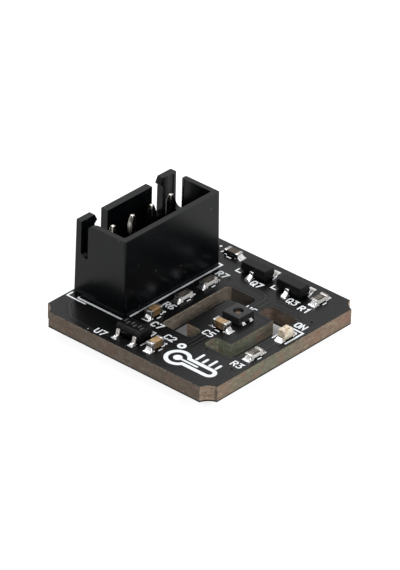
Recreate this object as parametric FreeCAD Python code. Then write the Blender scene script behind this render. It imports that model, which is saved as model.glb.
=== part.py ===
"""Small temperature sensor board with an upright shrouded header.

A square glass-fibre board carries a four-way header along its left side, a vented
temperature sensor on an island that milled slots part from the rest of the board, a
five-lead regulator, two three-lead transistors, chip resistors and capacitors, and a
small indicator lamp.

Millimetres, +Z up. X runs from the header's side of the board to the far side, and Y
runs along the header. The origin is under the middle of the board, level with the
ends of the header's soldered tails, which are the lowest points.
"""
import FreeCAD
import Part
import math
import os

from FreeCAD import Vector

# Board
board_size = 20.0
board_thickness = 1.6
corner_relief_radius = 1.6
corner_relief_offset = 0.45

# Milled slots that leave the sensor's island on two bridges
island_width = 5.16
island_height = 5.58
island_centre_x = 3.73
island_centre_y = -0.165
slot_width = 1.65
bridge_width = 1.45
cutter_radius = 0.5

# Header: pins
pin_count = 4
pin_pitch = 2.54
pin_width = 0.64
pin_tip_width = 0.32
pin_tip_length = 0.75
pin_tip_below_rim = 0.72
tail_length = 1.2
tail_tip_width = 0.34
tail_tip_length = 0.3
pin_hole_diameter = 1.02
pin_line_inset = 2.23

# Header: housing
header_edge_gap = 0.62
header_centre_y = 0.12
header_width = 5.88
header_height = 7.6
header_end_margin = 2.4
header_draft = 0.1
header_floor = 1.7
key_wall = 0.76
key_wall_drop = 0.2
plain_wall = 0.57
end_wall = 0.55
latch_post_width = 1.75
latch_post_thickness = 0.66
key_slot_width = 1.53
key_slot_depth = 3.65
end_slot_width = 0.84
end_slot_depth = 3.48
slot_bottom_radius = 0.55
end_wall_top_radius = 0.5
end_wall_lip = 0.15
end_wall_lead_in = 0.65
housing_corner_radius = 0.15
cavity_corner_radius = 0.15
lug_height = 0.32
lug_peak_depth = 0.6
lug_length = 0.9

# Header: solder joints under the board
joint_pad_radius = 0.92
joint_height = 0.85
joint_neck_radius = 0.5
joint_waist_radius = 0.6
joint_waist_depth = 0.36

# Solder under and beside the surface-mounted parts
solder_layer = 0.04
solder_toe_margin = 0.06
solder_toe_height = 0.03
solder_hollow_share = 0.36

# Chip resistors and capacitors share one footprint
chip_length = 1.6
chip_width = 0.8
chip_pad_inner = 0.42
chip_pad_outer = 1.225
chip_pad_width = 0.92
resistor_height = 0.45
resistor_terminal_length = 0.33
resistor_plating = 0.04
resistor_solder_climb = 0.88
film_thickness = 0.05
film_side_margin = 0.03
film_end_margin = 0.02
capacitor_height = 0.8
capacitor_terminal_length = 0.32
capacitor_plating = 0.03
capacitor_edge_bevel = 0.06
capacitor_solder_climb = 0.6

# Three-lead and five-lead moulded packages
package_length = 2.9
package_draft_inset = 0.09
package_edge_bevel = 0.04
package_standoff = 0.06
lead_thickness = 0.14
lead_spacing = 0.95
transistor_width = 1.3
transistor_height = 1.02
transistor_lead_width = 0.44
transistor_span = 2.4
regulator_width = 1.6
regulator_height = 1.1
regulator_lead_width = 0.4
regulator_span = 2.8
lead_exit_share = 0.5
lead_foot_length = 0.4
lead_shoulder = 0.14
lead_bend_radius = 0.06
lead_root = 0.2
lead_pad_toe = 0.28
lead_pad_heel = 0.12
lead_pad_side = 0.1
shank_solder_climb = 0.4
shank_solder_side = 0.06
shank_solder_hollow_share = 0.47

# Vented sensor
sensor_size = 2.0
sensor_height = 0.75
sensor_edge_bevel = 0.04
vent_diameter = 0.95
vent_depth = 0.42
element_size = 0.6
element_height = 0.18
contact_width = 0.36
contact_length = 0.32
contact_height = 0.2
contact_spacing = 0.95
contact_pad_outer = 0.22
contact_pad_side = 0.04

# Indicator lamp
led_length = 1.6
led_width = 0.88
led_base_height = 0.24
led_terminal_length = 0.19
led_plating = 0.03
lens_height = 0.64
lens_length = 1.2
lens_draft_inset = 0.06
lens_edge_bevel = 0.05

# Layout: clear spaces along the far row, which stretch with the room beside the header
far_row_header_gap = 2.23
far_row_transistor_gap = 1.27
far_row_resistor_gap = 0.84
far_row_edge_gap = 2.44
far_row_margin = 1.02
resistor_2_margin = 0.875

# Layout: clear spaces up the column of chips, which stretch with the room above the regulator
column_capacitor_gap = 0.815
column_resistor_4_gap = 1.55
column_resistor_3_gap = 0.85
column_far_row_gap = 1.475
column_header_gap = 1.09
capacitor_2_offset = 0.07

# Layout: the chip behind the header
resistor_1_overlap = 0.15
resistor_1_margin = 0.94

# Layout: clear spaces along the near and right edges
regulator_gap = 1.2
regulator_margin = 0.62
capacitor_3_gap = 0.74
capacitor_3_margin = 0.905
edge_column_margin = 0.59
resistor_5_margin = 5.825
led_gap = 1.8
led_offset = 0.07

# Layout: parts on the island
sensor_offset_x = 0.07
sensor_offset_y = 0.965
capacitor_1_offset = 0.07
capacitor_1_gap = 0.79

# Lengths and levels closer than this count as the same
same_length = 1e-6

# Levels that follow from the sizes above
board_bottom = tail_length
board_top = board_bottom + board_thickness
part_seat = board_top + solder_layer

# Places along the board's edges
left_edge = -board_size / 2
right_edge = board_size / 2
near_edge = -board_size / 2
far_edge = board_size / 2
header_left = left_edge + header_edge_gap
header_right = header_left + header_width
header_length = (pin_count - 1) * pin_pitch + 2 * header_end_margin
header_near = header_centre_y - header_length / 2
header_far = header_centre_y + header_length / 2
header_top = board_top + header_height
pin_line_x = header_left + pin_line_inset
pin_tip_level = header_top - pin_tip_below_rim
pin_places = [header_centre_y + (i - (pin_count - 1) / 2) * pin_pitch for i in range(pin_count)]

# Row of leaded parts and a chip between the header and the right edge
far_row_free = right_edge - header_right - 2 * package_length - chip_pad_width
far_row_gaps = far_row_header_gap + far_row_transistor_gap + far_row_resistor_gap + far_row_edge_gap
far_row_stretch = far_row_free / far_row_gaps
transistor_reach = transistor_span / 2 + lead_pad_toe
transistor_row_y = far_edge - far_row_margin - transistor_reach
transistor_2_x = header_right + far_row_header_gap * far_row_stretch + package_length / 2
transistor_1_x = transistor_2_x + package_length + far_row_transistor_gap * far_row_stretch
resistor_2_gap = far_row_resistor_gap * far_row_stretch
resistor_2_x = transistor_1_x + package_length / 2 + resistor_2_gap + chip_pad_width / 2

# Regulator and the chip beside it
regulator_reach = regulator_span / 2 + lead_pad_toe
regulator_x = header_right + regulator_gap + package_length / 2
regulator_y = near_edge + regulator_margin + regulator_reach
capacitor_3_x = regulator_x + package_length / 2 + capacitor_3_gap + chip_pad_width / 2

# Column of chips between the regulator and the far row
chip_footprint = 2 * chip_pad_outer
column_room = transistor_row_y - transistor_reach - regulator_y - regulator_reach
column_gaps = column_capacitor_gap + column_resistor_4_gap + column_resistor_3_gap + column_far_row_gap
column_stretch = (column_room - 3 * chip_footprint) / column_gaps
chip_column_x = header_right + column_header_gap + chip_pad_width / 2
capacitor_2_y = regulator_y + regulator_reach + column_capacitor_gap * column_stretch + chip_pad_outer
resistor_4_y = capacitor_2_y + chip_footprint + column_resistor_4_gap * column_stretch
resistor_3_y = resistor_4_y + chip_footprint + column_resistor_3_gap * column_stretch

# Chip and lamp along the right edge, and parts on the island
edge_column_x = right_edge - edge_column_margin - chip_pad_width / 2
resistor_5_y = near_edge + resistor_5_margin + chip_pad_outer
led_y = resistor_5_y + chip_footprint + led_gap
sensor_x = island_centre_x + sensor_offset_x
sensor_y = island_centre_y + sensor_offset_y
capacitor_1_y = sensor_y - sensor_size / 2 - capacitor_1_gap - chip_pad_width / 2

# Places of the surface-mounted parts: x, y and turn in degrees
quarter_turn = 90
resistor_places = [
    (header_right - resistor_1_overlap, far_edge - resistor_1_margin - chip_pad_width / 2, 0),
    (resistor_2_x, far_edge - resistor_2_margin - chip_pad_outer, quarter_turn),
    (chip_column_x, resistor_3_y, quarter_turn),
    (chip_column_x, resistor_4_y, quarter_turn),
    (edge_column_x, resistor_5_y, quarter_turn),
]
capacitor_places = [
    (sensor_x + capacitor_1_offset, capacitor_1_y, 0),
    (chip_column_x + capacitor_2_offset, capacitor_2_y, quarter_turn),
    (capacitor_3_x, near_edge + capacitor_3_margin + chip_pad_outer, quarter_turn),
]
transistor_places = [
    (transistor_1_x, transistor_row_y, 0),
    (transistor_2_x, transistor_row_y, 0),
]
regulator_place = (regulator_x, regulator_y, 0)
sensor_place = (sensor_x, sensor_y, 0)
led_place = (edge_column_x - led_offset, led_y, quarter_turn)


def centred_box(length, width, low_z, high_z, x=0, y=0):
    """Box centred on x, y between two levels."""
    corner = Vector(x - length / 2, y - width / 2, low_z)
    return Part.makeBox(length, width, high_z - low_z, corner)


def is_upright(edge):
    """True for a straight edge along Z."""
    start = edge.Vertexes[0].Point
    end = edge.Vertexes[-1].Point
    sideways = start.distanceToPoint(Vector(end.x, end.y, start.z))
    return sideways < same_length < abs(end.z - start.z)


def round_upright_edges(shape, radius):
    """Round every upright edge of a block."""
    return shape.makeFillet(radius, [edge for edge in shape.Edges if is_upright(edge)])


def bevel_top(shape, bevel):
    """Bevel the edges round the flat top of a block."""
    top = shape.BoundBox.ZMax
    rim = [edge for edge in shape.Edges if edge.BoundBox.ZMin > top - same_length]
    return shape.makeChamfer(bevel, rim)


def prism(points, direction):
    """Solid swept from a closed outline along a direction."""
    outline = Part.makePolygon(list(points) + [points[0]])
    return Part.Face(outline).extrude(direction)


def rectangle(length, width, level):
    """Closed rectangle centred on the Z axis, for a loft."""
    half_length = length / 2
    half_width = width / 2
    corners = [
        Vector(-half_length, -half_width, level),
        Vector(half_length, -half_width, level),
        Vector(half_length, half_width, level),
        Vector(-half_length, half_width, level),
    ]
    return Part.makePolygon(corners + [corners[0]])


def placed(shape, place):
    """Turn a part about Z and move it from the origin to its place on the board."""
    x, y, turn = place
    moved = shape.copy()
    moved.rotate(Vector(0, 0, 0), Vector(0, 0, 1), turn)
    moved.translate(Vector(x, y, 0))
    return moved


def save(name, solids):
    """Write one piece, or a group of separate solids, as a STEP file."""
    shape = solids[0] if len(solids) == 1 else Part.makeCompound(solids)
    shape.exportStep(os.path.join("parts", name + ".step"))
    print(name, len(shape.Solids), "solid(s), valid:", shape.isValid())


def isolation_slot(side):
    """C-shaped slot round one side of the island; side is -1 for left, 1 for right."""
    inner_x = island_centre_x + side * island_width / 2
    outer_x = inner_x + side * slot_width
    end_x = island_centre_x + side * bridge_width / 2
    inner_low = island_centre_y - island_height / 2
    inner_high = island_centre_y + island_height / 2
    outer_low = inner_low - slot_width
    outer_high = inner_high + slot_width
    corners = [
        (end_x, inner_high), (inner_x, inner_high), (inner_x, inner_low), (end_x, inner_low),
        (end_x, outer_low), (outer_x, outer_low), (outer_x, outer_high), (end_x, outer_high),
    ]
    slot = prism([Vector(x, y, board_bottom) for x, y in corners], Vector(0, 0, board_thickness))

    def is_island_corner(edge):
        return abs(edge.Vertexes[0].X - inner_x) < same_length

    rounded = [edge for edge in slot.Edges if is_upright(edge) and not is_island_corner(edge)]
    return slot.makeFillet(cutter_radius, rounded)


def circuit_board():
    """Square board with scalloped corners, the isolation slots and the header's holes."""
    board = centred_box(board_size, board_size, board_bottom, board_top)
    relief_reach = board_size / 2 + corner_relief_offset
    for x in (-relief_reach, relief_reach):
        for y in (-relief_reach, relief_reach):
            centre = Vector(x, y, board_bottom)
            board = board.cut(Part.makeCylinder(corner_relief_radius, board_thickness, centre))
    for side in (-1, 1):
        board = board.cut(isolation_slot(side))
    for y in pin_places:
        centre = Vector(pin_line_x, y, board_bottom)
        board = board.cut(Part.makeCylinder(pin_hole_diameter / 2, board_thickness, centre))
    return board


def box_between(low, high):
    """Box from its lowest corner to its highest."""
    size = high - low
    return Part.makeBox(size.x, size.y, size.z, low)


def round_edges_at(shape, radius, **place):
    """Round the edges of a block whose middle lies at the given x, y or z."""
    def is_there(edge):
        middle = edge.CenterOfMass
        return all(abs(getattr(middle, axis) - value) < same_length for axis, value in place.items())
    return shape.makeFillet(radius, [edge for edge in shape.Edges if is_there(edge)])


def housing_block():
    """Solid block that the header's walls are cut from, drafted to leave its mould."""
    flare = 2 * header_draft
    block = Part.makeLoft([
        rectangle(header_width + flare, header_length + flare, board_top),
        rectangle(header_width, header_length, header_top),
    ], True, True)
    corners = [edge for edge in block.Edges if edge.BoundBox.ZLength > header_height / 2]
    block = block.makeFillet(housing_corner_radius, corners)
    return block.translated(Vector(header_left + header_width / 2, header_centre_y, 0))


def housing_end(end_y, inward):
    """What is cut from one end of the housing; inward is the direction in Y to its middle."""
    outer_x = header_left - header_draft
    post_x = header_left + latch_post_thickness
    key_x = header_left + key_wall
    slot_end_x = post_x + end_slot_width
    outer_y = end_y - inward * header_draft
    wall_y = end_y + inward * end_wall
    post_y = end_y + inward * latch_post_width
    middle_y = post_y + inward * key_slot_width
    key_bottom = header_top - key_slot_depth
    end_bottom = header_top - end_slot_depth

    key_slot = box_between(Vector(outer_x, min(post_y, middle_y), key_bottom),
                           Vector(key_x, max(post_y, middle_y), header_top))
    key_slot = round_edges_at(key_slot, slot_bottom_radius, y=middle_y, z=key_bottom)
    end_slot = box_between(Vector(post_x, min(outer_y, wall_y), end_bottom),
                           Vector(slot_end_x, max(outer_y, wall_y), header_top))
    end_slot = round_edges_at(end_slot, slot_bottom_radius, x=post_x, z=end_bottom)
    post_relief = box_between(Vector(post_x, min(end_y, post_y), end_bottom),
                              Vector(key_x, max(end_y, post_y), header_top))
    lead_in = prism([
        Vector(slot_end_x, wall_y, end_bottom),
        Vector(slot_end_x, end_y + inward * end_wall_lip, end_bottom),
        Vector(slot_end_x + end_wall_lead_in, wall_y, end_bottom),
    ], Vector(0, 0, end_slot_depth))
    return [key_slot, end_slot, post_relief, lead_in]


def end_wall_rounding(end_y, inward):
    """What is cut to round the top corner of an end wall beside its slot."""
    corner_x = header_left + latch_post_thickness + end_slot_width
    radius = end_wall_top_radius
    low_y = min(end_y - inward * header_draft, end_y + inward * end_wall)
    depth = end_wall + header_draft
    block = Part.makeBox(radius, depth, radius, Vector(corner_x, low_y, header_top - radius))
    axis = Vector(corner_x + radius, low_y, header_top - radius)
    return block.cut(Part.makeCylinder(radius, depth, axis, Vector(0, 1, 0)))


def latch_lug(face_y, inward):
    """Barbed lug on a latch post's face; inward is the direction in Y that it points."""
    outline = [
        Vector(header_left, face_y, header_top),
        Vector(header_left, face_y + inward * lug_height, header_top - lug_peak_depth),
        Vector(header_left, face_y, header_top - lug_length),
    ]
    return prism(outline, Vector(latch_post_thickness, 0, 0))


def header_housing():
    """Open-topped shroud with a keyed wall, latch posts and slotted end walls."""
    cavity = box_between(
        Vector(header_left + key_wall, header_near + end_wall, board_top + header_floor),
        Vector(header_right - plain_wall, header_far - end_wall, header_top),
    )
    housing = housing_block().cut(round_upright_edges(cavity, cavity_corner_radius))
    middle_reach = header_length / 2 - latch_post_width
    drop = box_between(
        Vector(header_left - header_draft, header_centre_y - middle_reach, header_top - key_wall_drop),
        Vector(header_left + key_wall, header_centre_y + middle_reach, header_top),
    )
    housing = housing.cut(drop)
    ends = ((header_near, 1), (header_far, -1))
    for end_y, inward in ends:
        for waste in housing_end(end_y, inward) + [end_wall_rounding(end_y, inward)]:
            housing = housing.cut(waste)
    for end_y, inward in ends:
        housing = housing.fuse(latch_lug(end_y + inward * latch_post_width, inward))
    for y in pin_places:
        hole = centred_box(pin_width, pin_width, board_top, board_top + header_floor, pin_line_x, y)
        housing = housing.cut(hole)
    return housing.removeSplitter()


def header_pin(y):
    """Square pin with a tapered tip above the board and a blunt one on its tail."""
    sections = [
        (tail_tip_width, 0.0),
        (pin_width, tail_tip_length),
        (pin_width, pin_tip_level - pin_tip_length),
        (pin_tip_width, pin_tip_level),
    ]
    pin = Part.makeLoft([rectangle(width, width, level) for width, level in sections], True, True)
    return placed(pin, (pin_line_x, y, 0))


def header_solder_joint(y):
    """Solder that fills a pin's hole and climbs its tail in a hollow cone."""
    low = board_bottom - joint_height
    outline = [
        (0, board_top),
        (pin_hole_diameter / 2, board_top),
        (pin_hole_diameter / 2, board_bottom),
        (joint_pad_radius, board_bottom),
        (joint_pad_radius, board_bottom - solder_layer),
        (joint_waist_radius, board_bottom - joint_waist_depth),
        (joint_neck_radius, low),
        (0, low),
        (0, board_top),
    ]
    profile = Part.makePolygon([Vector(radius, 0, level) for radius, level in outline])
    joint = Part.Face(profile).revolve(Vector(0, 0, 0), Vector(0, 0, 1), 360)
    return placed(joint, (pin_line_x, y, 0)).cut(header_pin(y))


def pad_and_fillet(pad_inner, pad_outer, pad_width, wall_x, wall_height, wall_width,
                   hollow_share=solder_hollow_share):
    """Solder on one pad: a thin layer, and a hollow fillet up the wall that stands on it.

    The pad runs from pad_inner to pad_outer along X. The fillet rises from near the
    pad's outer end to wall_height on the upright wall at wall_x.
    """
    layer = Part.makeBox(pad_outer - pad_inner, pad_width, solder_layer,
                         Vector(pad_inner, -pad_width / 2, board_top))
    toe_x = pad_outer - solder_toe_margin
    toe_z = part_seat + solder_toe_height
    top_z = part_seat + wall_height
    toe = Vector(toe_x, -wall_width / 2, toe_z)
    top = Vector(wall_x, -wall_width / 2, top_z)
    hollow = Vector(wall_x + (toe_x - wall_x) * hollow_share, -wall_width / 2,
                    toe_z + (top_z - toe_z) * hollow_share)
    foot = Vector(toe_x, -wall_width / 2, part_seat)
    heel = Vector(wall_x, -wall_width / 2, part_seat)
    profile = Part.Wire([
        Part.makeLine(heel, foot),
        Part.makeLine(foot, toe),
        Part.Arc(toe, hollow, top).toShape(),
        Part.makeLine(top, heel),
    ])
    fillet = Part.Face(profile).extrude(Vector(0, wall_width, 0))
    return layer.fuse(fillet).removeSplitter()


def mirrored_pair(shape):
    """A shape and its mirror image across the plane x = 0."""
    return [shape, shape.mirror(Vector(0, 0, 0), Vector(1, 0, 0))]


def chip_solder(wall_height):
    """Solder joints at both ends of a chip part."""
    joint = pad_and_fillet(chip_pad_inner, chip_pad_outer, chip_pad_width,
                           chip_length / 2, wall_height, chip_width)
    return mirrored_pair(joint)


def end_terminals(length, width, height, terminal_length, body):
    """Metal ends that wrap a chip's body."""
    x = length / 2 - terminal_length / 2
    block = centred_box(terminal_length, width, part_seat, part_seat + height, x)
    return mirrored_pair(block.cut(body))


def chip_resistor():
    """Ceramic body, dark film on its top, and wrapped ends."""
    body = centred_box(chip_length - 2 * resistor_plating, chip_width,
                       part_seat + resistor_plating, part_seat + resistor_height - resistor_plating)
    terminals = end_terminals(chip_length, chip_width, resistor_height, resistor_terminal_length, body)
    film_length = chip_length - 2 * (resistor_terminal_length + film_end_margin)
    film_low = part_seat + resistor_height - resistor_plating
    film = centred_box(film_length, chip_width - 2 * film_side_margin, film_low, film_low + film_thickness)
    return body, film, terminals


def chip_capacitor():
    """Ceramic block with a metal cap over each end."""
    body = centred_box(chip_length - 2 * capacitor_plating, chip_width - 2 * capacitor_plating,
                       part_seat + capacitor_plating, part_seat + capacitor_height - capacitor_plating)
    body = body.makeChamfer(capacitor_edge_bevel, body.Edges)
    block = centred_box(chip_length, chip_width, part_seat, part_seat + capacitor_height)
    block = block.makeChamfer(capacitor_edge_bevel, block.Edges)
    middle = centred_box(chip_length - 2 * capacitor_terminal_length, 2 * chip_width,
                         board_top, part_seat + 2 * capacitor_height)
    terminals = block.cut(body).cut(middle).Solids
    return body, terminals


def moulded_package(length, width, height):
    """Moulded body whose sides slope in above and below the leads' level."""
    low = part_seat + package_standoff
    high = part_seat + height
    exit_level = low + (high - low) * lead_exit_share
    inset = 2 * package_draft_inset
    body = Part.makeLoft([
        rectangle(length - inset, width - inset, low),
        rectangle(length, width, exit_level),
        rectangle(length - inset, width - inset, high),
    ], True, True)
    return bevel_top(body, package_edge_bevel), exit_level


def gull_lead(side, x, lead_width, body_width, span, exit_level):
    """Formed lead that leaves the body level, bends down and lies flat on its pad.

    side is the direction in Y that it points.
    """
    half = lead_thickness / 2
    root = body_width / 2 - lead_root
    knee = body_width / 2 + lead_shoulder
    toe = span / 2
    heel = toe - lead_foot_length
    seat = part_seat
    outline = [
        (root, exit_level + half), (knee + half, exit_level + half),
        (heel + lead_thickness, seat + lead_thickness), (toe, seat + lead_thickness),
        (toe, seat), (heel, seat), (knee - half, exit_level - half), (root, exit_level - half),
    ]
    points = [Vector(x - lead_width / 2, side * y, z) for y, z in outline]
    lead = prism(points, Vector(lead_width, 0, 0))
    bends = (outline[1], outline[2], outline[5], outline[6])

    def is_bend(edge):
        middle = (side * edge.CenterOfMass.y, edge.CenterOfMass.z)
        return any(math.dist(middle, bend) < same_length for bend in bends)

    return lead.makeFillet(lead_bend_radius, [edge for edge in lead.Edges if is_bend(edge)])


def lead_solder(side, x, lead_width, span):
    """Solder joint at the toe of one formed lead."""
    foot_heel = span / 2 - lead_foot_length
    joint = pad_and_fillet(foot_heel - lead_pad_heel, span / 2 + lead_pad_toe,
                           lead_width + 2 * lead_pad_side, span / 2, lead_thickness, lead_width)
    return placed(joint, (0, 0, quarter_turn * side)).translated(Vector(x, 0, 0))


def shank_solder(side, x, lead_width, span, lead):
    """Fuller solder joint that covers the foot of one formed lead and climbs its shank."""
    foot_heel = span / 2 - lead_foot_length
    joint = pad_and_fillet(foot_heel - lead_pad_heel, span / 2 + lead_pad_toe,
                           lead_width + 2 * lead_pad_side, foot_heel + lead_thickness / 2,
                           shank_solder_climb, lead_width + 2 * shank_solder_side,
                           shank_solder_hollow_share)
    return placed(joint, (0, 0, quarter_turn * side)).translated(Vector(x, 0, 0)).cut(lead)


def leaded_part(width, height, lead_width, span, near_leads, far_leads, full_joints):
    """Moulded package with leads on its two long sides, and their solder joints.

    near_leads and far_leads hold the leads' places along the package, in lead spacings.
    full_joints is true where the solder covers the leads' feet.
    """
    body, exit_level = moulded_package(package_length, width, height)
    leads = []
    joints = []
    for side, places in ((-1, near_leads), (1, far_leads)):
        for place in places:
            x = place * lead_spacing
            lead = gull_lead(side, x, lead_width, width, span, exit_level)
            leads.append(lead.cut(body))
            if full_joints:
                joints.append(shank_solder(side, x, lead_width, span, lead))
            else:
                joints.append(lead_solder(side, x, lead_width, span))
    return body, leads, joints


def sensor():
    """Square package with a vent over its sensing element, contacts and their solder."""
    top = part_seat + sensor_height
    body = bevel_top(centred_box(sensor_size, sensor_size, part_seat, top), sensor_edge_bevel)
    vent_floor = top - vent_depth
    body = body.cut(Part.makeCylinder(vent_diameter / 2, vent_depth, Vector(0, 0, vent_floor)))
    element = centred_box(element_size, element_size, vent_floor, vent_floor + element_height)
    contacts = []
    joints = []
    for y in (-contact_spacing / 2, contact_spacing / 2):
        contact = centred_box(contact_length, contact_width, part_seat, part_seat + contact_height,
                              sensor_size / 2 - contact_length / 2, y)
        joint = pad_and_fillet(sensor_size / 2 - contact_length, sensor_size / 2 + contact_pad_outer,
                               contact_width + 2 * contact_pad_side, sensor_size / 2,
                               contact_height, contact_width)
        contacts += mirrored_pair(contact)
        joints += mirrored_pair(joint.translated(Vector(0, y, 0)))
    for contact in contacts:
        body = body.cut(contact)
    return body, element, contacts, joints


def indicator_lamp():
    """Lamp with a flat base, a sloped lens and wrapped end terminals."""
    base_low = part_seat + led_plating
    base_high = part_seat + led_base_height
    base = centred_box(led_length - 2 * led_plating, led_width, base_low, base_high)
    terminals = end_terminals(led_length, led_width, led_base_height + led_plating,
                              led_terminal_length, base)
    inset = 2 * lens_draft_inset
    lens = Part.makeLoft([
        rectangle(lens_length, led_width, base_high),
        rectangle(lens_length - inset, led_width - inset / 2, base_high + lens_height),
    ], True, True)
    joint = pad_and_fillet(chip_pad_inner, chip_pad_outer, chip_pad_width,
                           led_length / 2, led_base_height, led_width)
    return base, bevel_top(lens, lens_edge_bevel), terminals, mirrored_pair(joint)


def build_header():
    save("header_housing", [header_housing()])
    for number, y in enumerate(pin_places, 1):
        save("header_pin_%d" % number, [header_pin(y)])
    save("header_solder_joints", [header_solder_joint(y) for y in pin_places])


def build_chips():
    joints = []
    body, film, terminals = chip_resistor()
    for number, place in enumerate(resistor_places, 1):
        save("resistor_%d_body" % number, [placed(body, place)])
        save("resistor_%d_film" % number, [placed(film, place)])
        save("resistor_%d_terminals" % number, [placed(end, place) for end in terminals])
        joints += [placed(joint, place) for joint in chip_solder(resistor_height * resistor_solder_climb)]
    body, terminals = chip_capacitor()
    for number, place in enumerate(capacitor_places, 1):
        save("capacitor_%d_body" % number, [placed(body, place)])
        save("capacitor_%d_terminals" % number, [placed(end, place) for end in terminals])
        joints += [placed(joint, place) for joint in chip_solder(capacitor_height * capacitor_solder_climb)]
    save("chip_solder_joints", joints)


def build_leaded_parts():
    body, leads, joints = leaded_part(transistor_width, transistor_height, transistor_lead_width,
                                      transistor_span, (0,), (-1, 1), True)
    all_joints = []
    for number, place in enumerate(transistor_places, 1):
        save("transistor_%d_body" % number, [placed(body, place)])
        save("transistor_%d_leads" % number, [placed(lead, place) for lead in leads])
        all_joints += [placed(joint, place) for joint in joints]
    save("transistor_solder_joints", all_joints)
    body, leads, joints = leaded_part(regulator_width, regulator_height, regulator_lead_width,
                                      regulator_span, (-1, 1), (-1, 0, 1), False)
    save("regulator_body", [placed(body, regulator_place)])
    save("regulator_leads", [placed(lead, regulator_place) for lead in leads])
    save("regulator_solder_joints", [placed(joint, regulator_place) for joint in joints])


def build_sensor_and_lamp():
    body, element, contacts, joints = sensor()
    save("sensor_package", [placed(body, sensor_place)])
    save("sensor_element", [placed(element, sensor_place)])
    save("sensor_contacts", [placed(contact, sensor_place) for contact in contacts])
    save("sensor_solder_joints", [placed(joint, sensor_place) for joint in joints])
    base, lens, terminals, joints = indicator_lamp()
    save("led_base", [placed(base, led_place)])
    save("led_lens", [placed(lens, led_place)])
    save("led_terminals", [placed(end, led_place) for end in terminals])
    save("led_solder_joints", [placed(joint, led_place) for joint in joints])


os.makedirs("parts", exist_ok=True)
save("circuit_board", [circuit_board()])
build_header()
build_chips()
build_leaded_parts()
build_sensor_and_lamp()
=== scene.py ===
"""Looks of the temperature sensor board: finishes, print, solder, and the studio round it.

Metres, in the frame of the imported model: +Z up, X from the header's side of the board to
the far side, Y along the header. Places on the board are written in millimetres from the
middle of the board.
"""
import math
import random

import bmesh
import bpy
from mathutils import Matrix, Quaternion, Vector


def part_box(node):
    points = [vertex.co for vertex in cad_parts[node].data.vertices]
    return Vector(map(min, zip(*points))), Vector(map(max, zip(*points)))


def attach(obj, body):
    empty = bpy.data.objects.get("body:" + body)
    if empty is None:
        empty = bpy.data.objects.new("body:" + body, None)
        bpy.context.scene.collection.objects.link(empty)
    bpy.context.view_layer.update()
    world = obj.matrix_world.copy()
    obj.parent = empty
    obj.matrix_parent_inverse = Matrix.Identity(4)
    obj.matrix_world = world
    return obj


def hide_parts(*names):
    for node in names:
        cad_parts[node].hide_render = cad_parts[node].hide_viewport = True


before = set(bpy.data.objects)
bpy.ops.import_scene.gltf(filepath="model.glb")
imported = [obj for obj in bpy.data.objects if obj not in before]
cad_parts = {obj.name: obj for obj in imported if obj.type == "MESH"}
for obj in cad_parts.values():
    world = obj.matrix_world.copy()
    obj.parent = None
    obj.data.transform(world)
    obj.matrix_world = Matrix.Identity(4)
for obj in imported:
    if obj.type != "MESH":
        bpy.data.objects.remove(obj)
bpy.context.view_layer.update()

MM = 0.001
WELD = 1e-6
FLAT_ANGLE = math.radians(1)
ROUNDED_ANGLE = math.radians(35)
CREASE_ANGLE = math.radians(60)
random.seed(7)

board_low, board_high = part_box("circuit_board")
BOARD_TOP = board_high.z / MM
BOARD_BOTTOM = board_low.z / MM
HALF = board_high.x / MM


# Mesh helpers

def middle_of(node):
    """Middle of a node's box, in millimetres."""
    low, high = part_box(node)
    return (low + high) / 2 / MM


def vert_at(bm, x, y, z):
    """New vertex at a place in millimetres."""
    return bm.verts.new((x * MM, y * MM, z * MM))


def object_from(bm, name):
    """Object made from a bmesh, with its normals facing out."""
    bmesh.ops.recalc_face_normals(bm, faces=bm.faces)
    mesh = bpy.data.meshes.new(name)
    bm.to_mesh(mesh)
    bm.free()
    piece = bpy.data.objects.new(name, mesh)
    bpy.context.scene.collection.objects.link(piece)
    return piece


def dress(piece, finish, replaced=()):
    """Give a piece its finish and body, and hide the solids that it stands for."""
    if not piece.data.materials:
        piece.data.materials.append(finish)
    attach(piece, "root")
    if replaced:
        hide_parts(*replaced)
    return piece


def smooth(bm, sharp_angle):
    """Shade smooth, with creases where faces meet at more than an angle."""
    for face in bm.faces:
        face.smooth = True
    for edge in bm.edges:
        edge.smooth = len(edge.link_faces) == 2 and edge.calc_face_angle(0) < sharp_angle


def welded(node):
    """The solid of a node as one welded mesh, with its flat faces whole again."""
    bm = bmesh.new()
    bm.from_mesh(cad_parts[node].data)
    bmesh.ops.remove_doubles(bm, verts=bm.verts, dist=WELD)
    bmesh.ops.dissolve_limit(bm, angle_limit=FLAT_ANGLE, verts=bm.verts, edges=bm.edges)
    return bm


def bevelled(bm, edges, width, segments):
    """Round some edges and return the new faces."""
    made = bmesh.ops.bevel(bm, geom=edges, offset=width * MM, segments=segments,
                           profile=0.5, affect="EDGES", clamp_overlap=True)
    return made["faces"]


def refined(node, name, width, finish, segments=2):
    """A node's solid with rounded edges, which stands for the node."""
    bm = welded(node)
    sharp = [e for e in bm.edges
             if len(e.link_faces) == 2 and e.calc_face_angle(0) > ROUNDED_ANGLE]
    bevelled(bm, sharp, width, segments)
    smooth(bm, CREASE_ANGLE)
    piece = object_from(bm, name)
    normals = piece.modifiers.new("normals", "WEIGHTED_NORMAL")
    normals.keep_sharp = True
    return dress(piece, finish, [node])


def islands(node):
    """Vertex places of each separate solid of a node, in millimetres."""
    bm = welded(node)
    left = set(bm.verts)
    groups = []
    while left:
        stack = [left.pop()]
        group = []
        while stack:
            vert = stack.pop()
            group.append(vert.co / MM)
            for edge in vert.link_edges:
                other = edge.other_vert(vert)
                if other in left:
                    left.remove(other)
                    stack.append(other)
        groups.append(group)
    bm.free()
    return sorted(groups, key=lambda g: (min(p.x for p in g), min(p.y for p in g)))


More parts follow.
